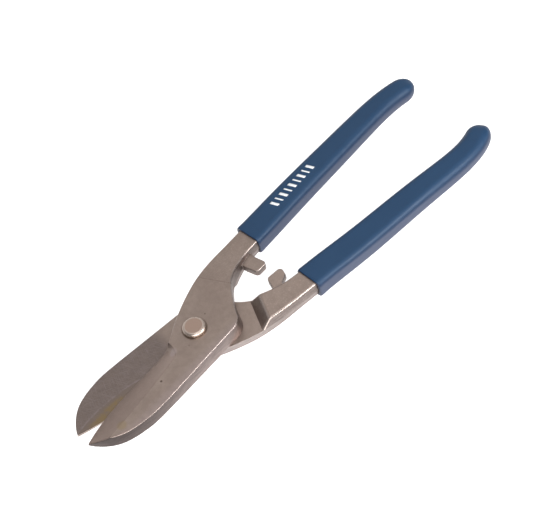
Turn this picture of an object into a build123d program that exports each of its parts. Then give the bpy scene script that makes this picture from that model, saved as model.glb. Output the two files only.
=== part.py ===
from build123d import *
from math import cos, radians, sin
import os

# Straight-pattern tin snips, drawn closed first and then opened a little for the stored pose.
# +X runs from the pivot to the blade tips, +Z is up, and the origin is on the pivot axis in the
# shear plane, where the two halves slide on each other. Sizes are in millimetres.
# Both halves come from one forging: "spine side" is its +Y side and "outer side" its -Y side.

# Forged halves
PLATE = 6.4             # thickness of blade and neck, from the shear plane outwards
SHEAR_GAP = 0.02        # each shear face stands this far off the shear plane
BLADE_LENGTH = 71.7     # pivot axis to blade tip
TIP_Y = 0.0
SPINE_Y = 17.0          # spine at the broadest part of the blade
SPINE_CURVE_X = 34.0    # the spine is straight behind this and curves to the tip ahead of it
THROAT_X = 12.9         # cutting edge starts here
THROAT_Y = -5.6
EDGE_SLOPE = 0.045      # the cutting edge rises this much per millimetre in its straight part
EDGE_SWEEP_X = 50.0     # ahead of this it sweeps up to the tip
LAND = 0.8              # height of the upright land along the cutting edge
BEVEL_START = (17.0, 3.5)               # upper end of the bevel's start, on the outer face
BEVEL_SLOPE = 0.165
BEVEL_BOW = 0.00113
RUNOUT_RADIUS = 5.0     # grinding wheel radius left where the bevel starts
SPINE_ROUND = 0.45      # broken edge along the spine
BAR_HALF = 4.2          # half height of the handle bars
BAR_DRAFT = 0.85        # each flank leans in this much from parting line to bar face
BAR_ROUND = 0.9         # rounding of the bar's long edges
BAR_OUTER_ROUND = 1.5   # the outer edge on the shear side is rounded more
BAR_START_X = -50.0     # plain tapering bar begins here, under the grip from GRIP_MOUTH_X on
BAR_END_X = -166.0
BAR_MIDDLE_Y = -17.0

# Slope from the ground outer face down to the bar, and ramp from the shear face up to the bar
CREASE_POINT = (-26.0, -11.3)
CREASE_ANGLE = 207.8    # direction in which the slope falls, in plan
SLOPE_RUN = 24.0
SLOPE_STRAIGHT = 0.7    # this much of the run is flat, and the rest blends into the bar
SLOPE_END = 1.1         # the blend ends here, as a share of the run
SLOPE_REMAINDER = 0.35  # height left for the blend
RAMP_POINT = (-26.0, -12.35)
RAMP_ANGLE = 202.8      # direction in which the ramp falls, in plan
RAMP_RUN = 5.0
RAMP_CREST_ROUND = 3.0

# Stop lugs
LUG_HALF = 2.0
LUG_ROUND = 0.5
UPPER_LUG_TIP_ROUND = 2.0
LOWER_LUG_TIP_ROUND = 1.8

# Grips
GRIP_MOUTH_X = -55.5
GRIP_MOUTH_SIZE = (15.2, 10.9, 2.8)     # width, height, corner radius
GRIP_TAPER_POWER = 1.6  # the sleeve narrows slowly at first and faster towards its end
GRIP_END_SIZE = (12.8, 10.4, 4.6)
GRIP_DOME_DEPTH = 8.0   # the closed end is domed over this length
UPPER_GRIP_END = (-177.5, -14.3)
UPPER_GRIP_BEND = 0.5  # inward slope of the path at its end
LOWER_GRIP_END = (-176.4, -12.4)
LOWER_GRIP_BEND = 0.75
GRIP_LIP_ROUND = 0.35
GRIP_CLEARANCE = 0.05

# Pivot
SHANK_RADIUS = 4.0
BORE_CLEARANCE = 0.05
NECK_SIZE = 8.0         # square neck of the bolt, held in the upper half
NECK_CORNER = 1.2
HEAD_RADIUS = 5.6
HEAD_HEIGHT = 2.3
HEAD_FLAT_RADIUS = 3.9
HEAD_SHOULDER = 0.35    # the head's rim is upright up to this share of its height
HEAD_DRAFT = 0.1
WASHER_RADIUS = 8.0
WASHER_THICKNESS = 1.0
WASHER_GAP = 0.05       # running clearance under the lower half
NUT_FLATS = 13.0
NUT_HEIGHT = 4.0
NUT_BEVEL = 0.6
THREAD_PITCH = 1.25
THREAD_DEPTH = 0.55
THREAD_GROOVES = 2
BOLT_TAIL = 1.3         # bolt end beyond the lock nut
WASHER_TOP_Z = -PLATE - WASHER_GAP
PIVOT_NUT_Z = WASHER_TOP_Z - WASHER_THICKNESS - NUT_HEIGHT
LOCK_NUT_Z = PIVOT_NUT_Z - NUT_HEIGHT
BOLT_END_Z = LOCK_NUT_Z - BOLT_TAIL

# Stored pose
REST_TURN = 3.2         # each half is turned open by this many degrees from closed


def cutting_edge_y(x):
    """Cutting edge in plan: straight from the throat, then swept up to the tip."""
    left_to_rise = TIP_Y - THROAT_Y - EDGE_SLOPE * (BLADE_LENGTH - THROAT_X)
    sweep = left_to_rise / (BLADE_LENGTH - EDGE_SWEEP_X) ** 2
    return THROAT_Y + EDGE_SLOPE * (x - THROAT_X) + sweep * max(0.0, x - EDGE_SWEEP_X) ** 2


def bevel_line_y(x):
    """Where the bevel meets the outer face, a slightly bowed line in plan."""
    ahead = x - BEVEL_START[0]
    return BEVEL_START[1] + BEVEL_SLOPE * ahead - BEVEL_BOW * ahead ** 2


def flank(inner, level, grow):
    """One flank of the plain bar. Level 0 is the parting line, 1 the height of the outer face."""
    side = 1 if inner else -1
    lean = BAR_DRAFT * PLATE / BAR_HALF * level - grow
    if inner:
        stations = [(BAR_START_X, -10.2), (-100, -12.7), (-150, -14.0), (BAR_END_X, -13.1)]
    else:
        stations = [(BAR_START_X, -23.3), (-100, -24.0), (-150, -23.7), (BAR_END_X, -22.0)]
    points = [(x, y - side * lean) for x, y in stations]
    start_slope = (-1, -0.065) if inner else (-1, -0.03)
    end_slope = (-1, 0.13) if inner else (-1, 0.16)
    return Spline(*points, tangents=[start_slope, end_slope])


def bar_face(level, grow, height):
    inner = flank(True, level, grow)
    outer = flank(False, level, grow)
    end = Line(inner @ 1, outer @ 1)
    front = Line(outer @ 0, inner @ 0)
    return Pos(0, 0, height) * make_face([inner, end, outer, front])


def bar(grow=0.0):
    """Plain bar with both drafted flanks, used for the bar and for the hollow of its grip."""
    lower_level = (BAR_HALF + grow) / PLATE
    upper = loft([bar_face(0, grow, 0), bar_face(lower_level, grow, BAR_HALF + grow)], ruled=True)
    return upper + mirror(upper, Plane.XY)


def half_face(level):
    """Whole plan outline of a forged half: level 0 at the shear plane, 1 at the outer face."""
    height = PLATE * level

    def at(x, y, lean_x=0.0, lean_y=0.0):
        return (x + lean_x * level, y + lean_y * level)

    tip = at(BLADE_LENGTH, TIP_Y)
    spine_start = at(SPINE_CURVE_X, SPINE_Y, 0, -0.35)
    heel_start = at(-8.5, 16.35, 0, -1.45)
    heel_end = at(-18.3, 11.9, 0.9, -1.0)
    throat = at(THROAT_X - 0.4, THROAT_Y - 0.8, 0, 1.9)
    edge_start = at(THROAT_X + 0.7, cutting_edge_y(THROAT_X + 0.7), 0, 0.4)

    bar_inner = flank(True, level, 0.0)
    bar_outer = flank(False, level, 0.0)
    edge_points = [(x, cutting_edge_y(x)) for x in (EDGE_SWEEP_X, 61.0)]
    edge = Spline(edge_start, *edge_points, tip)
    spine = Spline(
        tip,
        at(69.3, 4.5, -0.2, -0.2),
        at(61.5, 12.15, -0.3, -0.3),
        at(50.0, 16.03, 0, -0.35),
        spine_start,
        tangents=[(-0.35, 0.93), (-1, -0.008)],
    )
    back = Line(spine_start, heel_start)
    heel = Spline(heel_start, at(-15.2, 15.0, 0.5, -1.3), heel_end, tangents=[(-1, -0.02), (-0.47, -0.88)])
    hollow = Spline(
        heel_end,
        at(-24.0, 1.9, 0.3, 0.3),
        at(-31.3, -4.8, -0.1, -0.8),
        at(-40.5, -8.45, -0.1, -1.2),
        bar_inner @ 0,
        tangents=[(-0.47, -0.88), (-1, -0.065)],
    )
    end = Line(bar_inner @ 1, bar_outer @ 1)
    shoulder = at(-21.0, -20.8, 0.6, 2.0)
    front = ThreePointArc(shoulder, at(-4.6, -15.4, 0.2, 2.0), throat)
    outer = Spline(bar_outer @ 0, at(-34.5, -22.5, 0, 1.2), shoulder, tangents=[(1, 0.03), front % 0])
    step = Line(throat, edge_start)
    edges = [edge, spine, back, heel, hollow, bar_inner, end, bar_outer, outer, front, step]
    return Pos(0, 0, height) * make_face(edges)


def prism(point, angle, profile, reach=80.0):
    """A wide prism: the profile's first axis is the distance from a slanting line in plan."""
    away = Vector(1, 0, 0).rotate(Axis.Z, angle)
    along = Vector(0, 1, 0).rotate(Axis.Z, angle)
    plane = Plane(origin=(point[0], point[1], 0), x_dir=away, z_dir=-along)
    return extrude(plane * profile, amount=reach, both=True)


def slope_cutter():
    """Everything above the handle's outer face, which falls gently from the crease to the bar."""
    ceiling = 2 * PLATE
    far = -BAR_END_X + SLOPE_RUN
    run_in = Line((0, PLATE), (SLOPE_STRAIGHT * SLOPE_RUN, BAR_HALF + SLOPE_REMAINDER))
    blend = Spline(run_in @ 1, (SLOPE_END * SLOPE_RUN, BAR_HALF), tangents=[run_in % 1, (1, 0)])
    rest = Polyline(blend @ 1, (far, BAR_HALF), (far, ceiling), (0, ceiling), (0, PLATE))
    return prism(CREASE_POINT, CREASE_ANGLE, make_face([run_in, blend, rest]))


def ramp_keeper():
    """Space kept for the bar below the shear plane: it ends in a ramp up to the shear face."""
    far = -BAR_END_X + SLOPE_RUN
    ramp = Polyline((0, 0), (RAMP_RUN, -BAR_HALF), (far, -BAR_HALF), (far, 0), close=True)
    face = make_face(ramp)
    crest = face.vertices().sort_by_distance(Vector(RAMP_RUN, -BAR_HALF))[0]
    return prism(RAMP_POINT, RAMP_ANGLE, fillet(crest, RAMP_CREST_ROUND))


def bevel_cutter():
    """Wedge ground off the outer face, from the bevel line down to the land at the cutting edge."""
    sections = []
    beyond = 4.0
    for x in (THROAT_X, 26.0, 40.0, 52.0, 63.0, 78.0):
        edge = cutting_edge_y(min(x, BLADE_LENGTH))
        line = bevel_line_y(x)
        slope = (PLATE - LAND) / (line - edge)
        low = (edge - beyond, LAND - beyond * slope)
        high = (line + beyond, PLATE + beyond * slope)
        corners = [low, high, (high[0], 2 * PLATE), (low[0], 2 * PLATE)]
        section = make_face(Polyline(*corners, close=True))
        sections.append(Plane(origin=(x, 0, 0), x_dir=(0, 1, 0), z_dir=(1, 0, 0)) * section)
    cutter = loft(sections)
    start = cutter.faces().sort_by(Axis.X)[0]
    floor_edge = start.edges().sort_by(lambda edge: edge.center().Z)[0]
    return fillet(floor_edge, RUNOUT_RADIUS)


def long_edges(body, height, lowest_x, side):
    """Edges that run along the bar, near the given height and on the given side of its middle."""
    chosen = ShapeList()
    for edge in body.edges():
        points = [edge @ t for t in (0, 0.5, 1)]
        level = all(abs(point.Z - height) < 0.06 or point.Z > BAR_HALF - 0.05 for point in points)
        same_side = height * points[1].Z > 0 and side * (points[1].Y - BAR_MIDDLE_Y) > 0
        if level and same_side and points[1].X < lowest_x and abs((edge % 0.5).X) > 0.6:
            chosen.append(edge)
    return chosen


def forged_half():
    """Blade, neck and handle bar of one half, before its lug, pivot hole and shear clearance."""
    body = loft([half_face(0), half_face(1)], ruled=True)
    below = mirror(body, Plane.XY) & ramp_keeper()
    body = body - slope_cutter()
    body = body + below
    body = body - bevel_cutter()
    inner_top = [edge for edge in long_edges(body, BAR_HALF, -31, 1) if edge.length > 3]
    body = fillet(inner_top, BAR_ROUND)
    body = fillet(long_edges(body, BAR_HALF, -23, -1), BAR_ROUND)
    body = fillet(long_edges(body, -BAR_HALF, -31, 1), BAR_ROUND)
    body = fillet(long_edges(body, -BAR_HALF, -31, -1), BAR_OUTER_ROUND)
    return body


def spine_edges(body):
    """The sharp upper edges along the spine and round the heel."""
    chosen = ShapeList()
    for edge in body.edges():
        points = [edge @ t for t in (0, 0.5, 1)]
        high = all(point.Z > 0.5 for point in points) and points[1].Z > 2.0
        flat = abs((edge % 0.5).Z) < 0.9
        on_spine = points[1].Y > 2.5 and points[1].X > -26
        if high and flat and on_spine:
            chosen.append(edge)
    return chosen


def shear_relief():
    """Thin slab that takes the shear face off the shear plane, as far back as the ramp."""
    reach = 2 * BLADE_LENGTH
    profile = Polyline((0, 0), (reach, 0), (reach, SHEAR_GAP), (0, SHEAR_GAP), close=True)
    return prism(RAMP_POINT, RAMP_ANGLE + 180, make_face(profile))


def lug(points, tip_round):
    """A flat stop lug that stands out of the bar's inner flank."""
    outline = make_face(Polyline(*points, close=True))
    tips = outline.vertices().sort_by(Axis.Y)[-2:]
    solid = extrude(fillet(tips, tip_round), amount=LUG_HALF, both=True)
    rims = [edge for edge in solid.edges() if abs((edge @ 0.5).Z) > 0.9 * LUG_HALF]
    return fillet(rims, LUG_ROUND)


def upper_lug():
    """Straight lug that stands out of the upper half's bar."""
    rear = [(-49.0, -12.5), (-48.7, -7.0), (-49.7, -0.15)]
    front = [(-42.7, -0.15), (-41.5, -6.6), (-41.2, -11.5)]
    return lug(rear + front, UPPER_LUG_TIP_ROUND)


def lower_lug():
    """Foot-shaped lug, leaning back, that stands out of the lower half's bar."""
    rear = [(-44.8, -12.0), (-46.4, -8.3), (-50.6, -6.0), (-52.0, -1.1)]
    front = [(-43.0, -1.1), (-40.8, -8.6), (-40.4, -11.5)]
    return lug(rear + front, LOWER_LUG_TIP_ROUND)


def upper_blade():
    """Upper half, with the square hole that holds the bolt's neck."""
    body = forged_half()
    body = fillet(spine_edges(body), SPINE_ROUND)
    body = body + upper_lug() - shear_relief()
    hole = Box(NECK_SIZE + 2 * BORE_CLEARANCE, NECK_SIZE + 2 * BORE_CLEARANCE, 4 * PLATE)
    return body - hole


def lower_blade():
    """Lower half: the same forging turned over, with the round bore that turns on the shank."""
    body = forged_half()
    body = fillet(spine_edges(body), SPINE_ROUND)
    body = body + lower_lug() - shear_relief()
    return body - Cylinder(SHANK_RADIUS + BORE_CLEARANCE, 4 * PLATE)


def grip_path(end, bend):
    """Centre line of a grip: it follows the bar and bends inwards at the end."""
    points = [(GRIP_MOUTH_X, -17.4), (-100, -18.65), (-140, -19.1), (-160, -18.5), end]
    return Spline(*points, tangents=[(-1, -0.03), (-1, bend)])


def grip_section(path, distance, fraction, scale=1.0):
    """Rounded rectangle across the grip at a distance along its path, scaled for the dome."""
    width, height, corner = [
        at_mouth + (at_end - at_mouth) * fraction ** GRIP_TAPER_POWER
        for at_mouth, at_end in zip(GRIP_MOUTH_SIZE, GRIP_END_SIZE)]
    place = distance / path.length
    plane = Plane(origin=path @ place, x_dir=(0, 0, 1), z_dir=path % place)
    return plane * RectangleRounded(height * scale, width * scale, corner * scale)


def grip(end, bend):
    """Hollow sleeve with a closed, domed end, pushed on over the bar."""
    path = grip_path(end, bend)
    dome_start = path.length - GRIP_DOME_DEPTH
    sections = []
    for fraction in (0.0, 0.2, 0.4, 0.6, 0.78, 0.9, 1.0):
        sections.append(grip_section(path, dome_start * fraction, fraction))
    dome = [sections[-1]]
    for angle in (12, 26, 40, 54, 67, 80):
        reach = dome_start + GRIP_DOME_DEPTH * sin(radians(angle))
        dome.append(grip_section(path, reach, 1.0, cos(radians(angle))))
    sleeve = loft(sections) + loft(dome)
    mouth = sleeve.faces().sort_by(Axis.X)[-1]
    sleeve = fillet(mouth.edges(), GRIP_LIP_ROUND)
    return sleeve - bar(GRIP_CLEARANCE)


def hexagon_nut(height):
    """Hexagon nut with both faces bevelled at the corners, standing on the XY plane."""
    rim = NUT_FLATS / 2
    wide = 1.3 * rim
    drop = NUT_BEVEL * (wide - rim) / 1.6
    body = extrude(RegularPolygon(rim, 6, major_radius=False), amount=height)
    lower_side = [(0, 0), (rim, 0), (wide, drop)]
    upper_side = [(wide, height - drop), (rim, height), (0, height)]
    cone = revolve(make_face(Plane.XZ * Polyline(*lower_side, *upper_side, close=True)), Axis.Z)
    bore = Pos(0, 0, height / 2) * Cylinder(SHANK_RADIUS + BORE_CLEARANCE, 2 * height)
    mouth = Pos(0, 0, height - NUT_BEVEL / 2) * Cone(SHANK_RADIUS, SHANK_RADIUS + NUT_BEVEL, NUT_BEVEL)
    return (body & cone) - bore - mouth


def washer():
    """Thrust washer under the lower half, with its outer edges rounded."""
    ring = Cylinder(WASHER_RADIUS, WASHER_THICKNESS)
    ring = fillet(ring.edges(), WASHER_THICKNESS / 4)
    return ring - Cylinder(SHANK_RADIUS + 2 * BORE_CLEARANCE, 2 * WASHER_THICKNESS)


def pivot_bolt():
    """Low flat-topped head, square neck, round shank and threaded tail."""
    head_top = PLATE + HEAD_HEIGHT
    shoulder_z = PLATE + HEAD_SHOULDER * HEAD_HEIGHT
    flat = Line((0, head_top), (HEAD_FLAT_RADIUS, head_top))
    rim_width = HEAD_RADIUS - HEAD_FLAT_RADIUS
    rim_centre = (HEAD_FLAT_RADIUS, shoulder_z)
    rim = EllipticalCenterArc(rim_centre, rim_width, head_top - shoulder_z, start_angle=0, arc_size=90)
    foot = (HEAD_RADIUS - HEAD_DRAFT, PLATE)
    rest = Polyline((HEAD_RADIUS, shoulder_z), foot, (0, PLATE), (0, head_top))
    head = revolve(Plane.XZ * make_face([flat, rim, rest]), Axis.Z)

    neck_height = PLATE - SHEAR_GAP
    neck = extrude(RectangleRounded(NECK_SIZE, NECK_SIZE, NECK_CORNER), amount=neck_height)
    neck = Pos(0, 0, SHEAR_GAP) * neck

    shank = Pos(0, 0, (SHEAR_GAP + BOLT_END_Z) / 2) * Cylinder(SHANK_RADIUS, SHEAR_GAP - BOLT_END_Z)
    shank = chamfer(shank.edges().sort_by(Axis.Z)[0], THREAD_DEPTH)
    bolt = head + neck + shank
    for turn in range(THREAD_GROOVES):
        groove_z = BOLT_END_Z + (turn + 0.75) * THREAD_PITCH
        bolt = bolt - Pos(0, 0, groove_z) * thread_groove()
    return bolt


def thread_groove():
    """One V-shaped turn of the thread, as a ring."""
    outside = SHANK_RADIUS + 0.1
    half_width = 0.48 * THREAD_PITCH
    corners = [(SHANK_RADIUS - THREAD_DEPTH, 0), (outside, half_width), (outside, -half_width)]
    return revolve(make_face(Plane.XZ * Polyline(*corners, close=True)), Axis.Z)


def turned_over(shape):
    """The same shape turned over about the blade's long axis, as the lower half is."""
    return shape.rotate(Axis.X, 180)


def main():
    nut = hexagon_nut(NUT_HEIGHT)
    upper = {
        "upper_blade": upper_blade(),
        "upper_grip": grip(UPPER_GRIP_END, UPPER_GRIP_BEND),
        "pivot_bolt": pivot_bolt(),
        "thrust_washer": Pos(0, 0, WASHER_TOP_Z - WASHER_THICKNESS / 2) * washer(),
        "pivot_nut": Pos(0, 0, PIVOT_NUT_Z) * nut.rotate(Axis.Z, 12),
        "lock_nut": Pos(0, 0, LOCK_NUT_Z) * nut.rotate(Axis.Z, 37),
    }
    lower = {
        "lower_blade": turned_over(lower_blade()),
        "lower_grip": turned_over(grip(LOWER_GRIP_END, LOWER_GRIP_BEND)),
    }
    os.makedirs("parts", exist_ok=True)
    for pieces, turn in ((upper, REST_TURN), (lower, -REST_TURN)):
        for name, solid in pieces.items():
            export_step(solid.rotate(Axis.Z, turn), f"parts/{name}.step")


if __name__ == "__main__":
    main()
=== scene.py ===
import math

import bmesh
import bpy
import numpy as np
from mathutils import Matrix, Vector
from mathutils.bvhtree import BVHTree


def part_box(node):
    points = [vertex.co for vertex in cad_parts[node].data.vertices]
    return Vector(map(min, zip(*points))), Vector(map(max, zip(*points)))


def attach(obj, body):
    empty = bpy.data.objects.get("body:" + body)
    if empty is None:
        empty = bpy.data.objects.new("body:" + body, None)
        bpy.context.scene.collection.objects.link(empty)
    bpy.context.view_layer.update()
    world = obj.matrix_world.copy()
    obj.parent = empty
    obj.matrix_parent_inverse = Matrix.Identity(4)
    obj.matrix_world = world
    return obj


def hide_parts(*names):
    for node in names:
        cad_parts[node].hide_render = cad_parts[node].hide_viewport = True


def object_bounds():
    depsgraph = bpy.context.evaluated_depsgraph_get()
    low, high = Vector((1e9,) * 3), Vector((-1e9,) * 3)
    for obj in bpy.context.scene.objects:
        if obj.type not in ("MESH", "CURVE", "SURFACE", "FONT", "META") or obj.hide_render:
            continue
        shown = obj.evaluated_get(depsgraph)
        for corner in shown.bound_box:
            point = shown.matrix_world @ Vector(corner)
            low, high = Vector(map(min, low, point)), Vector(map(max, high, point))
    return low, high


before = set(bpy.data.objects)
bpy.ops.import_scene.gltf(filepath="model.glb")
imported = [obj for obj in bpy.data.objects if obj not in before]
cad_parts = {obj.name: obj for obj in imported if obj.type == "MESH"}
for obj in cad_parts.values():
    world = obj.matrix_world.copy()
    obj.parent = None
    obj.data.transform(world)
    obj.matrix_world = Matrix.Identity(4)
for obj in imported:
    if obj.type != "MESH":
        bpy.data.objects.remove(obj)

# Tin snips: ground and forged steel, a plated bolt and hardware, and dipped vinyl sleeves.
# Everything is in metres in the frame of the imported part; MM turns millimetres into metres.
# Materials work in millimetres, in the frame of one forged half where they say so.

MM = 0.001
UP = Vector((0, 0, 1))
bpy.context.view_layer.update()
REST_TURN = math.radians(3.2)       # each half is turned open by this at rest


def rgb(red, green, blue):
    return (red, green, blue, 1.0)


# --------------------------------------------------------------------- colours

FACE_STEEL_DARK = rgb(0.346, 0.272, 0.236)
FACE_STEEL_PALE = rgb(0.386, 0.308, 0.269)
SPINE_STEEL = rgb(0.419, 0.336, 0.313)
BEVEL_STEEL = rgb(0.345, 0.262, 0.228)
SHEAR_STEEL = rgb(0.210, 0.168, 0.150)
RELIEF_STEEL = rgb(0.236, 0.185, 0.158)
SCRATCH_STEEL = rgb(0.38, 0.32, 0.33)
# bright worn edges, and the painted highlight along the rounded edge's crest
WORN_AND_HIGHLIT_STEEL = rgb(0.60, 0.545, 0.53)
WALL_STEEL = rgb(0.222, 0.182, 0.172)
# The next two are painted shade on the walls towards the tip and painted light on the bars' walls,
# where the floor's light falls off
TIP_WALL_PAINTED_SHADE = rgb(0.074, 0.060, 0.058)
BAR_WALL_PAINTED_LIGHT = rgb(0.25, 0.208, 0.192)
CREASE_STEEL = rgb(0.12, 0.09, 0.075)
PIT_STEEL = rgb(0.10, 0.075, 0.06)
OIL_STAIN = rgb(0.285, 0.205, 0.105)
# painted shadow round the bolt's head
PAINTED_HEAD_SHADOW = rgb(0.13, 0.10, 0.075)

NICKEL_DARK = rgb(0.56, 0.46, 0.40)
NICKEL_PALE = rgb(0.63, 0.53, 0.465)
NICKEL_DISC = rgb(0.440, 0.312, 0.255)
NICKEL_SPECK = rgb(0.2, 0.15, 0.12)

ZINC_DARK = rgb(0.33, 0.325, 0.31)
ZINC_PALE = rgb(0.42, 0.415, 0.40)
ZINC_SPANGLE = rgb(0.50, 0.50, 0.49)
ZINC_WORN = rgb(0.66, 0.65, 0.63)

VINYL_DARK = rgb(0.0030, 0.036, 0.097)
VINYL_PALE = rgb(0.0050, 0.040, 0.104)
# painted shade on the sleeves' flanks
VINYL_SIDE_SHADE = rgb(0.0030, 0.022, 0.066)
VINYL_RUBBED = rgb(0.030, 0.056, 0.105)
# painted reflection of the pale floor, low on the sleeves and at grazing angles
VINYL_PAINTED_REFLECTION = rgb(0.082, 0.088, 0.130)
VINYL_DUST = rgb(0.09, 0.12, 0.17)

INK_WHITE = rgb(0.86, 0.88, 0.90)
INK_WORN = rgb(0.30, 0.36, 0.45)

FLOOR_DARK = rgb(0.84, 0.84, 0.84)
FLOOR_PALE = rgb(0.87, 0.87, 0.87)
FLOOR_LIGHT = rgb(1.0, 1.0, 1.0)
SKY_COLOR = rgb(1.0, 0.99, 0.98)
BACKDROP_COLOR = rgb(0.93, 0.93, 0.93)


# -------------------------------------------------------- places and dimensions

# Zones of a forged half, in its own frame (mm): each fades in from the first value to the second
SHEAR_X = (8, 16)                   # the flat face that the blades cut with
SHEAR_Z = (0.12, 0.05)
BEVEL_X = (8, 14)
RUN_OUT_X = (9, 13)                 # the bevel's wheel run-out by the head
# The walls' painted shade deepens towards the tip over TIP_X; over BLADE_WALL_X the bars' painted
# light gives way to the blade's wall colour
TIP_X = (5, 66)
BLADE_WALL_X = (-38, 5)
SPINE_WALL_X = (-32, -16)
SPINE_Y = (10.0, 16.5)
OUTER_FACE_Z = (4.0, 5.0)
HEAD_FACE_Z = (5.0, 6.0)
BAR_SLOPE_Z = (3.0, 5.0)
STAINED_Z = (1.0, 1.6)
FORGED_X = (-18, -30)               # behind the ground head
PALE_BAR_X = (-12, -20)             # the lower half's bar, on the ramp
# the painted shadow round the bolt's head fades in between these radii
HEAD_SHADOW_RADIUS = (6.6, 5.6)
OIL_START_X = (41, 47)
OIL_END_X = (70, 60)
HEAD_EDGE_X = (10, 4)

# Faces of a forged half, by the size of their normal's z
WALL_UPRIGHT = (0.72, 0.45)
FLAT_UPRIGHT = (0.98, 0.995)
BEVEL_UPRIGHT = (0.9985, 0.986)
BEVEL_NOT_WALL = (0.6, 0.8)
EDGE_NOT_FACE = (0.97, 0.90)
EDGE_NOT_WALL = (0.12, 0.30)
CREST_UPRIGHT = (0.5, 0.7)

# A sharp edge, by the dot product of its rounded and true normals
EDGE_LEAN = (0.995, 0.90)

# How much of the layer below each layer of the steel covers
BEVEL_SHARE = 0.9
SHEAR_SHARE = 0.9
WALL_SHARE = 0.95
RUN_OUT_WALL_SHARE = 0.20
CREASE_SHARE = 0.30
SCRATCH_SHARE = 0.34
RELIEF_SHARE = 0.7
OIL_SHARE = 0.8
PIT_SHARE = 0.22
SPECK_SHARE = 0.65

# How much brighter than the rest these are
PALE_BAR_GAIN = 1.10
PIMPLE_GAIN = 1.22

# Painted shade on the walls, darker high up and lighter low down: their brightness from a height
# above the blades' plane (mm) to another
SPINE_SHADE = (5.8, -0.5, 0.80, 1.2)
BAR_SHADE = (0.7, -0.9, 0.74, 0.99)

# The line where the ground head ends: x = CREASE_X + CREASE_SLOPE * y (mm)
CREASE_X = -30.2
CREASE_SLOPE = -0.4286
CREASE_WIDTH = 0.45

# The relief's border on the shear face: a parabola about its middle, and how ragged it is (mm)
RELIEF_MIDDLE = (50.0, 3.6)
RELIEF_CURVE = 0.0068
RELIEF_RAGGED = 0.8

# Cross scratches on the shear face: the way each set runs, and how little it changes along that
SCRATCH_SETS = ((0.5, 0.12), (1.15, 0.10), (1.9, 0.14))

# Stains on the upper half's outer face, and one painted highlight: x, y and radius (mm), strength
# and colour
UPPER_STAINS_AND_HIGHLIGHT = (
    (29.9, 7.4, 0.75, 0.8, rgb(0.07, 0.05, 0.04)),
    (57.0, 8.8, 3.2, 0.40, rgb(0.36, 0.265, 0.13)),
    (-8.8, -1.6, 0.55, 0.6, rgb(0.12, 0.09, 0.07)),
    (8.3, 4.5, 0.6, 0.4, rgb(0.16, 0.12, 0.10)),
    # painted highlight: the pale lavender patch on the bevel's run-out
    (15.2, 0.6, 2.6, 0.35, rgb(0.48, 0.40, 0.41)),
)

# Bolt head (mm)
HEAD_FLAT_RADIUS = 3.9
HEAD_RIM_WIDTH = 1.7
HEAD_RIM_HEIGHT = 1.495
HEAD_SHOULDER_Z = 7.205
DISC_RADIUS = (4.2, 4.0)            # the satin disc fades in between these
DISC_Z = (8.4, 8.6)

# How much of the colour below each layer of the other materials covers
NICKEL_DISC_SHARE = 0.9
NICKEL_SPECK_SHARE = 0.4
SPANGLE_SHARE = 0.25
ZINC_WORN_SHARE = 0.6
DUST_SHARE = 0.35
VINYL_IOR = 1.55
FLOOR_ROUGHNESS = 0.9

# Sleeves: rings of points square to a centre line that is fitted through the CAD sleeve
RING_POINTS = 72
RING_STEP = 2.2 * MM
INNER_RINGS = 19
END_RINGS = 16
END_ZONE = 9.0 * MM
PATH_SAMPLES = 40
PATH_DEGREE = 6
PATH_START = 2.5 * MM               # behind the mouth
PATH_STOP = 5.0 * MM                # before the closed end
BAR_CLEARANCE = 0.4 * MM
INNER_STOP = 2.2 * MM               # where the inside ends, behind the mouth
MOUTH_RING = 1.4 * MM               # where the mouth's section is taken
LIP_REACH = 1.25 * MM
OUTER_START = 1.6 * MM
# The rolled lip, from the hollow (0) to the outside (1), and how far back it lies (mm)
LIP_PROFILE = ((0.0, 0.05), (0.25, 0.02), (0.55, 0.0), (0.8, 0.06), (0.94, 0.22), (1.0, 0.5))
MOUTH_BULGE = 0.16 * MM
BULGE_MIDDLE = 1.9 * MM
BULGE_LENGTH = 1.1 * MM
RAY_REACH = 50 * MM                 # rays start this far outside a surface

# Mark printed on the upper sleeve, in the half's own frame (mm)
MARK_START = (-74.7, -18.45)
MARK_END = (-105.3, -19.5)
MARK_BARS = 9
MARK_HEIGHT = 4.3
MARK_BAR_WIDTH = 1.55
MARK_NARROW_BAR = 0.55              # every second bar, as a share of the first
MARK_SLANT = 1.1
MARK_GRID = (9, 4)                  # rows and columns of points in one bar
INK_DEPTH = 0.03 * MM

# Camera, worked out from the object's parallel and square edges in the photograph
CAMERA_AZIMUTH = math.radians(147.581)
CAMERA_ELEVATION = math.radians(51.805)
CAMERA_ROLL = math.radians(-15.857)
CAMERA_DISTANCE = 744.12 * MM
CAMERA_TARGET = Vector((-54.998, -3.193, 0)) * MM
CAMERA_LENS = 102.37                # mm, on a sensor this wide:
CAMERA_SENSOR = 36
CAMERA_CLIP = (0.01, 20)

# Studio light: a dim room with one large soft reflector behind the tool
REFLECTOR_DIRECTION = (-0.33, -0.52, 0.786)
REFLECTOR_EDGE = 0.25
REFLECTOR_STRENGTH = 0.74
SURROUND_STRENGTH = 0.20
FLOOR_GLOW = 0.75
FLOOR_REACH = 6.0

# Soft lamps: direction from the tool, distance, size (m) and power (W)
LAMPS = {
    "key": ((-0.35, 0.76, 0.50), 0.55, (0.34, 0.20), 2.0),
    "front": ((0.45, 0.70, 0.50), 1.1, (0.9, 0.6), 8.0),
    "overhead": ((0.0, 0.2, 1.0), 1.2, (0.7, 0.7), 2.2),
}


# ---------------------------------------------------------------- node helpers

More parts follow.
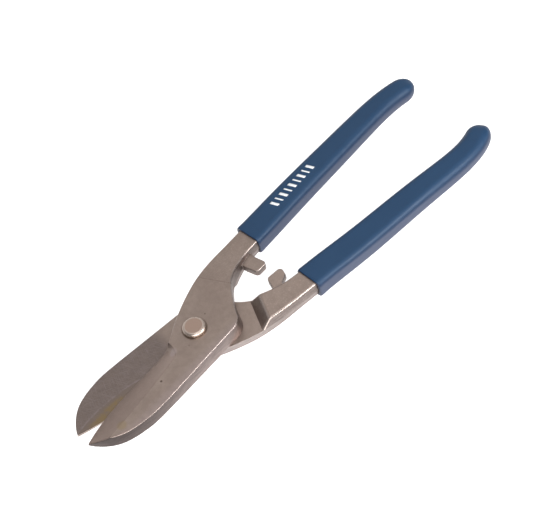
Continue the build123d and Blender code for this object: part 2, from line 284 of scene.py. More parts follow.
class Nodes:
    """Short calls that add nodes to one node tree."""

    def __init__(self, tree):
        self.tree = tree
        tree.nodes.clear()

    def add(self, kind, **settings):
        node = self.tree.nodes.new(kind)
        for key, value in settings.items():
            setattr(node, key, value)
        return node

    def link(self, source, target):
        self.tree.links.new(source, target)

    def feed(self, target, value):
        """Sets a socket from another node's output or from a plain value."""
        if isinstance(value, bpy.types.NodeSocket):
            self.link(value, target)
        else:
            target.default_value = value

    def math(self, operation, *values):
        node = self.add("ShaderNodeMath", operation=operation)
        for socket, value in zip(node.inputs, values):
            self.feed(socket, value)
        return node.outputs[0]

    def chain(self, operation, result, *others):
        """The operation on the first two values, then on that and the third, and so on."""
        for value in others:
            result = self.math(operation, result, value)
        return result

    def product(self, *values):
        return self.chain("MULTIPLY", *values)

    def highest(self, *values):
        return self.chain("MAXIMUM", *values)

    def between(self, share, start, end):
        """From start, where the share is 0, straight to end, where it is 1."""
        return self.math("MULTIPLY_ADD", share, end - start, start)

    def distance(self, x, y):
        """Distance from the z axis."""
        return self.math("SQRT", self.math("ADD", self.product(x, x), self.product(y, y)))

    def ramp(self, value, low, high, start=0.0, end=1.0):
        """Smooth step of a value from start to end, as it goes from low to high."""
        node = self.add("ShaderNodeMapRange", interpolation_type="SMOOTHSTEP")
        for socket, item in zip(node.inputs, (value, low, high, start, end)):
            self.feed(socket, item)
        return node.outputs[0]

    def mix(self, amount, first, second, blend="MIX"):
        node = self.add("ShaderNodeMix", data_type="RGBA", blend_type=blend)
        self.feed(node.inputs[0], amount)
        self.feed(node.inputs[6], first)
        self.feed(node.inputs[7], second)
        return node.outputs[2]

    def vector_math(self, operation, *values):
        node = self.add("ShaderNodeVectorMath", operation=operation)
        for socket, value in zip(node.inputs, values):
            self.feed(socket, value)
        return node

    def combined(self, *values):
        """A vector from its x, y and z; the ones left out are 0."""
        node = self.add("ShaderNodeCombineXYZ")
        for socket, value in zip(node.inputs, values):
            self.feed(socket, value)
        return node.outputs[0]

    def split(self, vector):
        node = self.add("ShaderNodeSeparateXYZ")
        self.link(vector, node.inputs[0])
        return node.outputs

    def facing(self):
        """The surface's true normal."""
        return self.add("ShaderNodeNewGeometry").outputs["Normal"]


class Surface(Nodes):
    """One material: a Principled shader and the nodes that feed it."""

    def __init__(self, name):
        self.material = bpy.data.materials.new(name)
        self.material.use_nodes = True
        super().__init__(self.material.node_tree)
        self.shader = self.add("ShaderNodeBsdfPrincipled")
        output = self.add("ShaderNodeOutputMaterial")
        self.link(self.shader.outputs["BSDF"], output.inputs["Surface"])

    def noise(self, vector, scale=1.0, detail=3.0, roughness=0.55):
        node = self.add("ShaderNodeTexNoise")
        self.link(vector, node.inputs["Vector"])
        node.inputs["Scale"].default_value = scale
        node.inputs["Detail"].default_value = detail
        node.inputs["Roughness"].default_value = roughness
        return node.outputs["Fac"]

    def cells(self, vector, scale):
        """Distance to the nearest cell centre, and a random value for that cell."""
        node = self.add("ShaderNodeTexVoronoi")
        self.link(vector, node.inputs["Vector"])
        node.inputs["Scale"].default_value = scale
        split = self.add("ShaderNodeSeparateColor")
        self.link(node.outputs["Color"], split.inputs[0])
        return node.outputs["Distance"], split.outputs[0]

    def specks(self, vector, scale, radius, share):
        """Sparse round specks: 1 inside a speck. Radius is in cell widths."""
        distance, chance = self.cells(vector, scale)
        inside = self.ramp(distance, radius, radius * 0.4)
        chosen = self.math("GREATER_THAN", chance, 1.0 - share)
        return self.product(inside, chosen)

    def stretched(self, vector, scale, turn=0.0):
        """The vector turned about z, then scaled, for streaks along one direction."""
        node = self.add("ShaderNodeMapping", vector_type="TEXTURE")
        self.link(vector, node.inputs["Vector"])
        node.inputs["Rotation"].default_value = (0, 0, turn)
        node.inputs["Scale"].default_value = tuple(1 / factor for factor in scale)
        return node.outputs[0]

    def object_mm(self, flipped=False, turned=False):
        """Object coordinates in millimetres, turned into one forged half's frame if asked."""
        node = self.add("ShaderNodeMapping")
        side = -1 if flipped else 1
        node.inputs["Scale"].default_value = (1 / MM, side / MM, side / MM)
        if turned:
            node.inputs["Rotation"].default_value = (0, 0, -REST_TURN)
        self.link(self.add("ShaderNodeTexCoord").outputs["Object"], node.inputs["Vector"])
        return node.outputs[0]

    def bump(self, height, distance, strength, normal=None):
        node = self.add("ShaderNodeBump")
        node.inputs["Strength"].default_value = strength
        node.inputs["Distance"].default_value = distance
        self.link(height, node.inputs["Height"])
        if normal is not None:
            self.link(normal, node.inputs["Normal"])
        return node.outputs[0]

    def rounded_normal(self, radius):
        node = self.add("ShaderNodeBevel", samples=6)
        node.inputs["Radius"].default_value = radius
        return node.outputs[0]

    def edge_mask(self, radius):
        """1 along sharp edges, from how far a rounded normal leans from the true one."""
        lean = self.vector_math("DOT_PRODUCT", self.rounded_normal(radius), self.facing())
        return self.ramp(lean.outputs["Value"], *EDGE_LEAN)

    def finish(self, color, roughness, normal, metallic=0.0):
        self.feed(self.shader.inputs["Base Color"], color)
        self.feed(self.shader.inputs["Roughness"], roughness)
        self.link(normal, self.shader.inputs["Normal"])
        self.shader.inputs["Metallic"].default_value = metallic
        return self.material


# ---------------------------------------------------------------- forged steel

class ForgedHalf(Surface):
    """One half's steel, with the coordinates, masks and noise that its layers share."""

    def __init__(self, name, flipped):
        super().__init__(name)
        self.flipped = flipped
        self.point = self.object_mm(flipped, turned=True)
        self.x, self.y, self.z = self.split(self.point)
        normal_x, normal_y, normal_z = self.split(self.facing())
        self.endways = self.math("ABSOLUTE", normal_x)
        self.upright = self.math("ABSOLUTE", normal_z)
        self.away_from_edge = self.product(normal_y, -1.0) if flipped else normal_y

        self.wall = self.ramp(self.upright, *WALL_UPRIGHT)
        self.flat = self.ramp(self.upright, *FLAT_UPRIGHT)
        self.forged = self.ramp(self.x, *FORGED_X)
        self.shear = self.product(
            self.ramp(self.z, *SHEAR_Z), self.flat, self.ramp(self.x, *SHEAR_X)
        )
        self.bevel = self.product(
            self.ramp(self.upright, *BEVEL_UPRIGHT),
            self.ramp(self.upright, *BEVEL_NOT_WALL),
            self.ramp(self.x, *BEVEL_X),
        )
        self.ground = self.highest(self.bevel, self.shear)
        self.patches = self.noise(self.point, scale=0.35, detail=4.0, roughness=0.6)


def ground_faces(half):
    """The outer face, lighter by the spine, the browner bevel and the darker shear face."""
    clouds = half.noise(half.point, scale=0.055)
    color = half.mix(half.ramp(clouds, 0.3, 0.7), FACE_STEEL_DARK, FACE_STEEL_PALE)
    near_spine = half.product(half.ramp(half.y, *SPINE_Y), half.ramp(half.z, *OUTER_FACE_Z))
    color = half.mix(near_spine, color, SPINE_STEEL)
    color = half.mix(half.product(half.bevel, BEVEL_SHARE), color, BEVEL_STEEL)
    return half.mix(half.product(half.shear, SHEAR_SHARE), color, SHEAR_STEEL)


def add_walls(half, color):
    """The walls, streaked, but not on the run-out: painted shade darker towards the tip and high
    up, painted light on the bars and low down.
    """
    # Painted shade darkening the walls to the tip, and painted light on the bars' walls
    wall_color = half.mix(half.ramp(half.x, *TIP_X), WALL_STEEL, TIP_WALL_PAINTED_SHADE)
    wall_color = half.mix(half.ramp(half.x, *BLADE_WALL_X), BAR_WALL_PAINTED_LIGHT, wall_color)
    # Painted shade: each wall darker near its top and lighter low down
    height_up = half.product(half.z, -1.0) if half.flipped else half.z
    spine_share = half.ramp(half.x, *SPINE_WALL_X)
    bar_share = half.math("SUBTRACT", 1.0, spine_share)
    spine_shade = half.product(half.ramp(height_up, *SPINE_SHADE), spine_share)
    shade = half.math("MULTIPLY_ADD", half.ramp(height_up, *BAR_SHADE), bar_share, spine_shade)
    streaks = half.noise(half.stretched(half.point, (0.16, 0.5, 1.3)), roughness=0.6)
    shade = half.product(shade, half.ramp(streaks, 0.3, 0.7, 0.84, 1.14))
    wall_color = half.mix(1.0, wall_color, shade, "MULTIPLY")
    run_out = half.product(
        half.ramp(half.away_from_edge, 0.0, -0.25), half.ramp(half.x, *RUN_OUT_X)
    )
    wall_share = half.between(run_out, WALL_SHARE, RUN_OUT_WALL_SHARE)
    return half.mix(half.product(half.wall, wall_share), color, wall_color)


def add_crease(half, color):
    """A faint line where the ground head ends and the forged slope to the bar starts."""
    along = half.math("MULTIPLY_ADD", half.y, CREASE_SLOPE, CREASE_X)
    beyond = half.math("SUBTRACT", along, half.x)
    line = half.product(
        half.ramp(beyond, -CREASE_WIDTH, 0.0),
        half.ramp(beyond, CREASE_WIDTH, 0.0),
        CREASE_SHARE,
        half.ramp(half.z, *BAR_SLOPE_Z),
    )
    return half.mix(line, color, CREASE_STEEL)


def add_grain(half, color):
    """Patches and grain everywhere, a paler lower bar, and pimples from shot blasting."""
    grain = half.noise(half.point, scale=4.0, roughness=0.75)
    tone = half.product(
        half.ramp(half.patches, 0.25, 0.75, 0.93, 1.06), half.ramp(grain, 0.3, 0.7, 0.93, 1.07)
    )
    if half.flipped:
        paler = half.product(half.ramp(half.x, *PALE_BAR_X), half.flat)
        tone = half.product(tone, half.between(paler, 1.0, PALE_BAR_GAIN))
    pimples = half.noise(half.point, scale=1.5, roughness=0.75)
    pimples = half.product(half.ramp(pimples, 0.50, 0.68), half.forged)
    tone = half.product(tone, half.between(pimples, 1.0, PIMPLE_GAIN))
    return half.mix(1.0, color, tone, "MULTIPLY")


def add_scratches(half, color):
    """Fine cross scratches on the shear face, from sheet metal."""
    sets = []
    for turn, length in SCRATCH_SETS:
        stretched = half.stretched(half.point, (length, 5.0, 1.0), turn)
        sets.append(half.ramp(half.noise(stretched, detail=2.0, roughness=0.5), 0.54, 0.66))
    scratches = half.product(half.highest(*sets), half.shear, SCRATCH_SHARE)
    return half.mix(scratches, color, SCRATCH_STEEL)


def add_relief(half, color):
    """Relief ground along the shear face's cutting edge, with an oil stain and a pale border."""
    off_middle = half.math("SUBTRACT", half.x, RELIEF_MIDDLE[0])
    sag = half.product(off_middle, off_middle, RELIEF_CURVE)
    border_y = half.math("SUBTRACT", RELIEF_MIDDLE[1], sag)
    waver = half.noise(half.point, scale=0.5)
    waver = half.math("MULTIPLY_ADD", waver, RELIEF_RAGGED, -RELIEF_RAGGED / 2)
    depth = half.math("SUBTRACT", border_y, half.math("ADD", half.y, waver))
    band = half.product(half.ramp(depth, -0.1, 0.5), half.shear, RELIEF_SHARE)
    color = half.mix(band, color, RELIEF_STEEL)
    oil = half.product(
        half.ramp(half.patches, 0.36, 0.56, 0.25, 1.0),
        half.ramp(depth, 0.8, 3.2),
        half.shear,
        half.ramp(half.x, *OIL_END_X),
        half.ramp(half.x, *OIL_START_X),
        OIL_SHARE,
    )
    color = half.mix(oil, color, OIL_STAIN)
    border = half.product(
        half.ramp(depth, -0.8, -0.2),
        half.ramp(depth, 0.5, 0.0),
        half.shear,
        half.ramp(half.patches, 0.35, 0.6, 0.03, 0.32),
    )
    return half.mix(border, color, SCRATCH_STEEL)


def add_head_shadow(half, color):
    """Painted shadow round the bolt's head: a patchy brown ring where the head sits on the face.
    """
    head_shadow = half.product(
        half.ramp(half.distance(half.x, half.y), *HEAD_SHADOW_RADIUS),
        half.ramp(half.z, *HEAD_FACE_Z),
        half.ramp(half.patches, 0.2, 0.6, 0.65, 0.85),
    )
    return half.mix(head_shadow, color, PAINTED_HEAD_SHADOW)


def add_stains_and_highlight(half, color, stains_and_highlight):
    """Single stain spots and specks, and one painted highlight, each at its own place."""
    for (at_x, at_y, radius, share, tint) in stains_and_highlight:
        away = half.vector_math("DISTANCE", half.combined(half.x, half.y), (at_x, at_y, 0))
        spot = half.ramp(away.outputs["Value"], radius, radius * 0.45)
        spot = half.product(spot, share, half.ramp(half.z, *STAINED_Z))
        color = half.mix(spot, color, tint)
    return color


def pitting(half):
    """A mask of many small pits and a few larger specks."""
    pits = half.specks(half.point, scale=0.9, radius=0.16, share=0.16)
    specks = half.specks(half.point, scale=0.11, radius=0.030, share=0.45)
    return half.highest(half.product(pits, PIT_SHARE), half.product(specks, SPECK_SHARE))


def broken_edge(half):
    """A mask of the rounded edge along the spine and round the head and bar."""
    off_blade_edge = half.highest(
        half.ramp(half.x, *HEAD_EDGE_X), half.ramp(half.away_from_edge, 0.05, 0.2)
    )
    return half.product(
        half.ramp(half.upright, *EDGE_NOT_FACE),
        half.ramp(half.upright, *EDGE_NOT_WALL),
        off_blade_edge,
        half.ramp(half.endways, 0.72, 0.5),
    )


def worn_edges_and_highlight(half, rounding):
    """A mask of bright metal: sharp edges that handling brightens, and a painted highlight on the
    rounded edge's crest.
    """
    sharp = half.product(
        half.edge_mask(radius=0.30 * MM), half.ramp(half.patches, 0.2, 0.7, 0.3, 0.7)
    )
    # Painted highlight along the crest of the rounded edge, fainter towards the tip
    crest = half.product(
        rounding,
        half.ramp(half.upright, *CREST_UPRIGHT),
        half.ramp(half.x, 48, 66, 0.28, 0.08),
    )
    return half.highest(sharp, crest)


def steel_normal(half, pits):
    """Blasted grain on the forging, grinding lines on the ground faces, and the pits."""
    blasted = half.noise(half.point, scale=2.0, detail=4.0, roughness=0.7)
    grinding = half.noise(half.stretched(half.point, (0.5, 6.0, 0.5)), roughness=0.6)
    coarse = half.product(
        blasted, half.between(half.ground, 1.0, 0.15), half.between(half.forged, 0.8, 1.8)
    )
    lines = half.product(grinding, half.between(half.ground, 0.3, 0.9))
    height = half.math("MULTIPLY_ADD", pits, -2.0, half.math("ADD", coarse, lines))
    rounded = half.rounded_normal(0.22 * MM)
    return half.bump(height, distance=0.035 * MM, strength=0.6, normal=rounded)


def forged_steel(name, flipped=False, stains_and_highlight=()):
    """Satin steel: ground blade faces, shot-blasted forging on the walls and bars."""
    half = ForgedHalf(name, flipped)
    color = ground_faces(half)
    # The layers in order; the last paints a shadow round the bolt's head
    for add_layer in (add_walls, add_crease, add_grain, add_scratches, add_relief, add_head_shadow):
        color = add_layer(half, color)
    color = add_stains_and_highlight(half, color, stains_and_highlight)
    pits = pitting(half)
    color = half.mix(pits, color, PIT_STEEL)
    rounding = broken_edge(half)
    # Bright metal: worn sharp edges, and a painted highlight along the rounded edge's crest
    worn = worn_edges_and_highlight(half, rounding)
    color = half.mix(worn, color, WORN_AND_HIGHLIT_STEEL)

    roughness = half.ramp(half.patches, 0.2, 0.8, 0.38, 0.46)
    for mask, change in ((half.wall, 0.05), (worn, -0.12), (rounding, -0.10)):
        roughness = half.math("MULTIPLY_ADD", mask, change, roughness)
    return half.finish(color, roughness, steel_normal(half, pits), metallic=1.0)


# --------------------------------------------------------------- other materials

def plated_bolt():
    """Nickel-plated head: a pressed satin disc inside a bright rounded rim."""
    bolt = Surface("bolt_nickel")
    point = bolt.object_mm()
    x, y, z = bolt.split(point)
    radius = bolt.distance(x, y)
    disc = bolt.product(bolt.ramp(radius, *DISC_RADIUS), bolt.ramp(z, *DISC_Z))
    blotches = bolt.noise(point, scale=0.7, detail=4.0, roughness=0.6)
    blotches = bolt.ramp(blotches, 0.3, 0.7)
    color = bolt.mix(blotches, NICKEL_DARK, NICKEL_PALE)
    color = bolt.mix(bolt.product(disc, NICKEL_DISC_SHARE), color, NICKEL_DISC)
    specks = bolt.specks(point, scale=0.8, radius=0.12, share=0.25)
    specks = bolt.product(specks, disc)
    color = bolt.mix(bolt.product(specks, NICKEL_SPECK_SHARE), color, NICKEL_SPECK)
    roughness = bolt.ramp(disc, 0.0, 1.0, 0.27, 0.40)
    roughness = bolt.math("MULTIPLY_ADD", blotches, 0.06, roughness)
    grain = bolt.noise(point, scale=7.0, detail=2.0)
    satin = bolt.product(grain, bolt.ramp(disc, 0.0, 1.0, 0.12, 1.0))
    height = bolt.math("MULTIPLY_ADD", specks, -1.5, satin)
    smooth = head_normal(bolt, x, y, z, radius)
    normal = bolt.bump(height, distance=0.012 * MM, strength=0.4, normal=smooth)
    return bolt.finish(color, roughness, normal, metallic=1.0)


def head_normal(bolt, x, y, z, radius):
    """The true normal of the bolt head's elliptical rim, and a rounded normal below the head."""
    lean = bolt.highest(bolt.math("SUBTRACT", radius, HEAD_FLAT_RADIUS), 0.0)
    lean = bolt.math("DIVIDE", lean, bolt.product(radius, HEAD_RIM_WIDTH ** 2))
    rise = bolt.highest(bolt.math("SUBTRACT", z, HEAD_SHOULDER_Z), 0.0)
    rise = bolt.math("DIVIDE", rise, HEAD_RIM_HEIGHT ** 2)
    rim = bolt.combined(bolt.product(x, lean), bolt.product(y, lean), rise)
    to_world = bolt.add("ShaderNodeVectorTransform", vector_type="NORMAL")
    to_world.convert_from = "OBJECT"
    to_world.convert_to = "WORLD"
    bolt.link(rim, to_world.inputs[0])
    choose = bolt.add("ShaderNodeMix", data_type="VECTOR")
    bolt.link(bolt.math("GREATER_THAN", z, HEAD_SHOULDER_Z + 0.05), choose.inputs[0])
    bolt.link(bolt.rounded_normal(0.12 * MM), choose.inputs[4])
    bolt.link(to_world.outputs[0], choose.inputs[5])
    return bolt.vector_math("NORMALIZE", choose.outputs[1]).outputs[0]


def plated_hardware():
    """Zinc-plated washer and nuts, with a faint spangle and bright corners."""
    zinc = Surface("hardware_zinc")
    point = zinc.object_mm()
    spangle = zinc.cells(point, 0.9)[1]
    blotches = zinc.noise(point, scale=0.5, detail=4.0)
    color = zinc.mix(zinc.ramp(blotches, 0.3, 0.7), ZINC_DARK, ZINC_PALE)
    color = zinc.mix(zinc.product(spangle, SPANGLE_SHARE), color, ZINC_SPANGLE)
    worn = zinc.edge_mask(radius=0.25 * MM)
    color = zinc.mix(zinc.product(worn, ZINC_WORN_SHARE), color, ZINC_WORN)
    roughness = zinc.ramp(blotches, 0.2, 0.8, 0.28, 0.42)
    grain = zinc.noise(point, scale=4.5)
    rounded = zinc.rounded_normal(0.15 * MM)
    normal = zinc.bump(grain, distance=0.02 * MM, strength=0.5, normal=rounded)
    return zinc.finish(color, roughness, normal, metallic=1.0)


def vinyl():
    """Dipped navy vinyl: satin, slightly uneven, with scuffs and a few dust marks, painted shade
    on its flanks and a painted reflection of the floor.
    """
    dip = Surface("sleeve_vinyl")
    point = dip.object_mm()
    clouds = dip.noise(point, scale=0.05)
    drawn_out = dip.stretched(point, (0.35, 3.0, 3.0))
    scuffs = dip.noise(drawn_out, scale=0.5, detail=4.0, roughness=0.7)
    color = dip.mix(dip.ramp(clouds, 0.3, 0.7), VINYL_DARK, VINYL_PALE)
    rubbed = dip.ramp(scuffs, 0.60, 0.80, 0.0, 0.25)
    color = dip.mix(rubbed, color, VINYL_RUBBED)

    # Painted shade on the flanks, a deeper blue, and a painted reflection of the pale floor,
    # greyish low down and at grazing angles
    upright = dip.split(dip.facing())[2]
    not_below = dip.ramp(upright, -0.85, -0.60)
    side = dip.product(dip.ramp(upright, 0.72, 0.40), not_below)
    color = dip.mix(side, color, VINYL_SIDE_SHADE)
    # Painted reflection of the floor, greyish low down and at grazing angles
    grazing = dip.add("ShaderNodeLayerWeight").outputs["Facing"]
    low_painted_reflection = dip.product(dip.ramp(upright, 0.42, -0.5), not_below)
    painted_reflection = dip.highest(dip.ramp(grazing, 0.55, 1.0, 0.0, 0.9), low_painted_reflection)
    color = dip.mix(painted_reflection, color, VINYL_PAINTED_REFLECTION)
    dust = dip.specks(point, scale=0.35, radius=0.06, share=0.35)
    color = dip.mix(dip.product(dust, DUST_SHARE), color, VINYL_DUST)

    roughness = dip.ramp(clouds, 0.3, 0.7, 0.47, 0.53)
    roughness = dip.math("MULTIPLY_ADD", rubbed, 0.3, roughness)
    waves = dip.noise(dip.stretched(point, (0.6, 1.0, 1.0)), scale=0.22, detail=2.0)
    peel = dip.noise(point, scale=2.6, detail=2.0, roughness=0.5)
    height = dip.math("MULTIPLY_ADD", waves, 3.0, dip.product(peel, 0.5))
    normal = dip.bump(height, distance=0.05 * MM, strength=0.35)
    dip.feed(dip.shader.inputs["Specular IOR Level"], dip.ramp(side, 0.0, 1.0, 0.42, 0.34))
    dip.shader.inputs["IOR"].default_value = VINYL_IOR
    return dip.finish(color, roughness, normal)


def print_ink():
    """White printed ink with thin, slightly worn patches."""
    ink = Surface("print_white")
    point = ink.object_mm()
    wear = ink.noise(point, scale=1.6, detail=4.0, roughness=0.65)
    color = ink.mix(ink.ramp(wear, 0.58, 0.72, 0.0, 0.35), INK_WHITE, INK_WORN)
    roughness = ink.ramp(wear, 0.3, 0.7, 0.45, 0.6)
    normal = ink.bump(ink.noise(point, scale=3.0), distance=0.01 * MM, strength=0.4)
    return ink.finish(color, roughness, normal)


def floor_paint():
    """Matt white acrylic table, lit softly from below, with the faintest mottling."""
    table = Surface("floor_white")
    point = table.object_mm()
    mottle = table.noise(point, scale=0.02)
    color = table.mix(table.ramp(mottle, 0.3, 0.7), FLOOR_DARK, FLOOR_PALE)
    table.shader.inputs["Emission Color"].default_value = FLOOR_LIGHT
    table.shader.inputs["Emission Strength"].default_value = FLOOR_GLOW
    normal = table.bump(table.noise(point, scale=0.4), distance=0.02 * MM, strength=0.1)
    return table.finish(color, FLOOR_ROUGHNESS, normal)


def dress(node, material):
    """Gives a carried-over CAD node its material."""
    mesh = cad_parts[node].data
    mesh.materials.clear()
    mesh.materials.append(material)


# --------------------------------------------------------------------- sleeves

class CadSleeve:
    """One CAD sleeve's surface, and the centre line from its mouth to its closed end."""

    def __init__(self, node):
        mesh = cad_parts[node].data
        points = [vertex.co.copy() for vertex in mesh.vertices]
        faces = [tuple(face.vertices) for face in mesh.polygons]
        self.tree = BVHTree.FromPolygons(points, faces)
        self.low, self.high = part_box(node)
        self.mouth_x = self.high.x
        self.end_x = self.low.x
        self.middle = (self.mouth_x + self.end_x) / 2
        self.half = (self.mouth_x - self.end_x) / 2
        xs = np.linspace(self.mouth_x - PATH_START, self.end_x + PATH_STOP, PATH_SAMPLES)
        ys = [self.side_middle(x) for x in xs]
        self.path = np.polynomial.Polynomial.fit((xs - self.middle) / self.half, ys, PATH_DEGREE)
        self.slope = self.path.deriv()

    def hit(self, start, direction):
        """Where a ray meets the surface, or None."""
        return self.tree.ray_cast(start, direction)[0]

    def side_middle(self, x):
        """The middle of the sleeve at z = 0 for a given x, from one ray on each side."""
        reach = 2 * RAY_REACH
        from_low = self.hit(Vector((x, self.low.y - reach, 0)), Vector((0, 1, 0)))
        from_high = self.hit(Vector((x, self.high.y + reach, 0)), Vector((0, -1, 0)))
        return (from_low.y + from_high.y) / 2

    def place(self, x):
        """The centre line's point at a given x, and its direction towards the closed end."""
        u = (x - self.middle) / self.half
        tangent = Vector((-1, -self.slope(u) / self.half, 0)).normalized()
        return Vector((x, self.path(u), 0)), tangent

    def ring(self, x, inside=False, swell=0.0):
        """A ring of points on the inner or outer surface, square to the path, swollen a little."""
        centre, tangent = self.place(x)
        across = tangent.cross(UP)
        points = []
        for index in range(RING_POINTS):
            angle = 2 * math.pi * index / RING_POINTS
            direction = across * math.cos(angle) + UP * math.sin(angle)
            start = centre if inside else centre + direction * RAY_REACH
            point = self.hit(start, direction if inside else -direction)
            if point is None:
                point = centre
            points.append(point + (point - centre).normalized() * swell)
        return points

    def tip(self):
        """The surface's furthest point along the path."""
        centre, tangent = self.place(self.end_x + END_ZONE)
        return self.hit(centre + tangent * RAY_REACH, -tangent)


def inner_rings(shape, bar_end_x):
    """Rings inside, from the bar's end forwards to the mouth."""
    xs = np.linspace(bar_end_x + BAR_CLEARANCE, shape.mouth_x - INNER_STOP, INNER_RINGS)
    return [shape.ring(x, inside=True) for x in xs]


def mouth_rings(shape):
    """The mouth: hollow edge, front face and rolled lip."""
    x = shape.mouth_x - MOUTH_RING
    tangent = shape.place(x)[1]
    hollow = shape.ring(x, inside=True)
    outside = shape.ring(x)
    rings = []
    for share, back in LIP_PROFILE:
        shift = tangent * (back * MM - LIP_REACH)
        rings.append([near.lerp(far, share) + shift for near, far in zip(hollow, outside)])
    return rings


def outer_rings(shape):
    """Rings outside, with a slight bulge behind the lip, which close in round the end."""
    count = int((shape.mouth_x - shape.end_x) / RING_STEP)
    rings = []
    for x in np.linspace(shape.mouth_x - OUTER_START, shape.end_x + END_ZONE, count):
        off_bulge = (shape.mouth_x - x - BULGE_MIDDLE) / BULGE_LENGTH
        rings.append(shape.ring(x, swell=MOUTH_BULGE * math.exp(-off_bulge ** 2)))
    for index in range(1, END_RINGS):
        share = math.sin(0.5 * math.pi * index / END_RINGS)
        rings.append(shape.ring(shape.end_x + END_ZONE * (1 - share)))
    return rings


def sleeve(node, body, material):
    """A closed, smooth sleeve that follows the CAD sleeve, with a rolled mouth."""
    shape = CadSleeve(node)
    bar_end_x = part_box(node.replace("grip", "blade"))[0].x
    rings = inner_rings(shape, bar_end_x) + mouth_rings(shape) + outer_rings(shape)
    bottom = sum(rings[0], Vector()) / RING_POINTS
    name = node.replace("grip", "sleeve")
    piece = mesh_from_rings(name, rings, bottom, shape.tip(), material)
    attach(piece, body)
    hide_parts(node)
    return piece


def mesh_from_rings(name, rings, bottom, tip, material):
    """One closed, smooth mesh from rings of equal length, with a point at each end."""
    vertices = [tuple(point) for level in rings for point in level]
    vertices += [tuple(bottom), tuple(tip)]
    bottom_index = len(rings) * RING_POINTS
    last = bottom_index - RING_POINTS
    faces = []
    for index in range(RING_POINTS):
        after = (index + 1) % RING_POINTS
        for start in range(0, last, RING_POINTS):
            above = start + RING_POINTS
            faces.append((start + index, start + after, above + after, above + index))
        faces.append((bottom_index, after, index))
        faces.append((bottom_index + 1, last + index, last + after))
    return smooth_piece(name, vertices, faces, material, levels=1)


def smooth_piece(name, vertices, faces, material, levels=0):
    """A smooth-shaded piece, with levels of subdivision if it needs them."""
    mesh = bpy.data.meshes.new(name)
    mesh.from_pydata(vertices, [], faces)
    mesh.validate()
    mesh.materials.append(material)
    mesh.polygons.foreach_set("use_smooth", [True] * len(mesh.polygons))
    face_outwards(mesh)
    piece = bpy.data.objects.new(name, mesh)
    bpy.context.scene.collection.objects.link(piece)
    if levels:
        rounding = piece.modifiers.new("rounding", "SUBSURF")
        rounding.levels = levels
        rounding.render_levels = levels
    return piece


def face_outwards(mesh):
    work = bmesh.new()
    work.from_mesh(mesh)
    bmesh.ops.recalc_face_normals(work, faces=work.faces)
    work.to_mesh(mesh)
    work.free()


# ---------------------------------------------------------------- printed mark

def printed_mark(carrier, body, material):
    """A row of slanted white bars printed on top of a sleeve, each a thin closed patch."""
    printed_on = carrier.evaluated_get(bpy.context.evaluated_depsgraph_get()).to_mesh()
    points = [vertex.co.copy() for vertex in printed_on.vertices]
    tree = BVHTree.FromPolygons(points, [tuple(face.vertices) for face in printed_on.polygons])
    turn = Matrix.Rotation(REST_TURN, 3, "Z")
    start = turn @ Vector((*MARK_START, 0)) * MM
    end = turn @ Vector((*MARK_END, 0)) * MM
    along = (end - start).normalized()
    across = along.cross(UP)
    rows, columns = MARK_GRID
    vertices = []
    faces = []
    for bar in range(MARK_BARS):
        wide = MARK_BAR_WIDTH * (MARK_NARROW_BAR if bar % 2 else 1.0) * MM
        middle = start.lerp(end, (bar + 0.5) / MARK_BARS)
        faces += slab_faces(len(vertices), rows, columns)
        for layer in (INK_DEPTH, -INK_DEPTH):
            for row in range(rows):
                level = row / (rows - 1) - 0.5
                for column in range(columns):
                    share = column / (columns - 1) - 0.5
                    place = middle + across * level * MARK_HEIGHT * MM
                    place += along * (share * wide + level * MARK_SLANT * MM)
                    top = tree.ray_cast(Vector((place.x, place.y, RAY_REACH)), -UP)[0]
                    vertices.append((place.x, place.y, top.z + layer))
    piece = smooth_piece("sleeve_mark", vertices, faces, material)
    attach(piece, body)
    return piece


def slab_faces(base, rows, columns):
    """Faces of a thin slab: two grids of vertices, one over the other, and the rim."""
    count = rows * columns
    faces = []
    for row in range(rows - 1):
        for column in range(columns - 1):
            corner = base + row * columns + column
            quad = (corner, corner + 1, corner + columns + 1, corner + columns)
            faces.append(quad)
            faces.append(tuple(count + index for index in reversed(quad)))
    rim = [base + column for column in range(columns)]
    rim += [base + row * columns + columns - 1 for row in range(1, rows)]
    rim += [base + (rows - 1) * columns + column for column in range(columns - 2, -1, -1)]
    rim += [base + row * columns for row in range(rows - 2, 0, -1)]
    for index, corner in enumerate(rim):
        after = rim[(index + 1) % len(rim)]
        faces.append((after, corner, corner + count, after + count))
    return faces


# ------------------------------------------------------------------- the stage

def stage_floor():
    """A plain pale table under the object's lowest point."""
    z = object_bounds()[0].z
    signs = ((-1, -1), (1, -1), (1, 1), (-1, 1))
    corners = [(x * FLOOR_REACH, y * FLOOR_REACH, z) for x, y in signs]
    mesh = bpy.data.meshes.new("floor")
    mesh.from_pydata(corners, [], [(0, 1, 2, 3)])
    mesh.materials.append(floor_paint())
    piece = bpy.data.objects.new("floor", mesh)
    bpy.context.scene.collection.objects.link(piece)


def softbox(name, direction, distance, size, power):
    """A rectangular studio lamp that faces the object."""
    data = bpy.data.lights.new(name, "AREA")
    data.shape = "RECTANGLE"
    data.size, data.size_y = size
    data.energy = power
    lamp = bpy.data.objects.new(name, data)
    bpy.context.scene.collection.objects.link(lamp)
    away = Vector(direction).normalized()
    lamp.location = CAMERA_TARGET + away * distance
    lamp.rotation_mode = "QUATERNION"
    lamp.rotation_quaternion = away.to_track_quat("Z", "Y")
    lamp.visible_camera = False


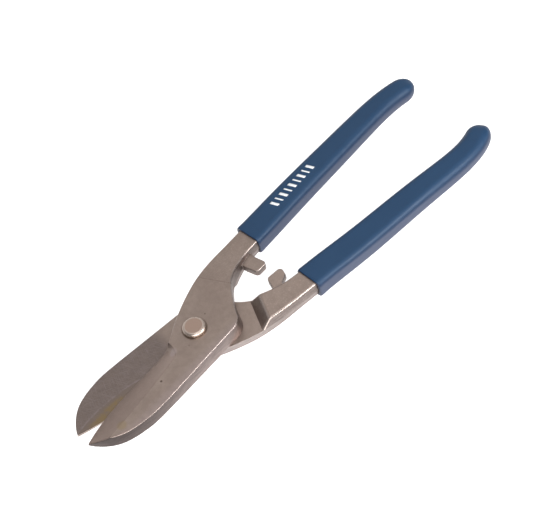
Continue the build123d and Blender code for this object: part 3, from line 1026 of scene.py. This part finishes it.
def studio_world():
    """Dim surroundings with a large soft reflector behind the tool, and a pale backdrop."""
    world = bpy.data.worlds.new("studio")
    world.use_nodes = True
    bpy.context.scene.world = world
    nodes = Nodes(world.node_tree)
    direction = nodes.add("ShaderNodeTexCoord").outputs["Generated"]
    reflector = Vector(REFLECTOR_DIRECTION).normalized()
    toward = nodes.vector_math("DOT_PRODUCT", direction, reflector).outputs["Value"]
    glow = nodes.ramp(toward, REFLECTOR_EDGE, 1.0, SURROUND_STRENGTH, REFLECTOR_STRENGTH)
    sky = nodes.add("ShaderNodeBackground")
    sky.inputs["Color"].default_value = SKY_COLOR
    nodes.link(glow, sky.inputs["Strength"])
    backdrop = nodes.add("ShaderNodeBackground")
    backdrop.inputs["Color"].default_value = BACKDROP_COLOR
    choose = nodes.add("ShaderNodeMixShader")
    nodes.link(nodes.add("ShaderNodeLightPath").outputs["Is Camera Ray"], choose.inputs[0])
    nodes.link(sky.outputs[0], choose.inputs[1])
    nodes.link(backdrop.outputs[0], choose.inputs[2])
    nodes.link(choose.outputs[0], nodes.add("ShaderNodeOutputWorld").inputs["Surface"])


def camera():
    """A long lens at the viewing angle, tilted about its own axis."""
    back = Vector((
        math.sin(CAMERA_AZIMUTH) * math.cos(CAMERA_ELEVATION),
        -math.cos(CAMERA_AZIMUTH) * math.cos(CAMERA_ELEVATION),
        math.sin(CAMERA_ELEVATION),
    ))
    level = UP.cross(back).normalized()
    upright = back.cross(level)
    right = level * math.cos(CAMERA_ROLL) + upright * math.sin(CAMERA_ROLL)
    up = upright * math.cos(CAMERA_ROLL) - level * math.sin(CAMERA_ROLL)
    data = bpy.data.cameras.new("camera")
    data.lens = CAMERA_LENS
    data.sensor_width = CAMERA_SENSOR
    data.clip_start, data.clip_end = CAMERA_CLIP
    eye = bpy.data.objects.new("camera", data)
    bpy.context.scene.collection.objects.link(eye)
    axes = Matrix((right, up, back)).transposed().to_4x4()
    eye.matrix_world = Matrix.Translation(CAMERA_TARGET + back * CAMERA_DISTANCE) @ axes
    bpy.context.scene.camera = eye


# ---------------------------------------------------------- the object and stage

dress("upper_blade", forged_steel("steel_upper", stains_and_highlight=UPPER_STAINS_AND_HIGHLIGHT))
dress("lower_blade", forged_steel("steel_lower", flipped=True))
dress("pivot_bolt", plated_bolt())
plating = plated_hardware()
for hardware in ("thrust_washer", "pivot_nut", "lock_nut"):
    dress(hardware, plating)

blue = vinyl()
upper_sleeve = sleeve("upper_grip", "upper_half", blue)
sleeve("lower_grip", "lower_half", blue)
printed_mark(upper_sleeve, "upper_half", print_ink())

stage_floor()
studio_world()
for lamp_name, lamp_settings in LAMPS.items():
    softbox(lamp_name, *lamp_settings)
camera()
bpy.context.scene.view_settings.view_transform = "Standard"
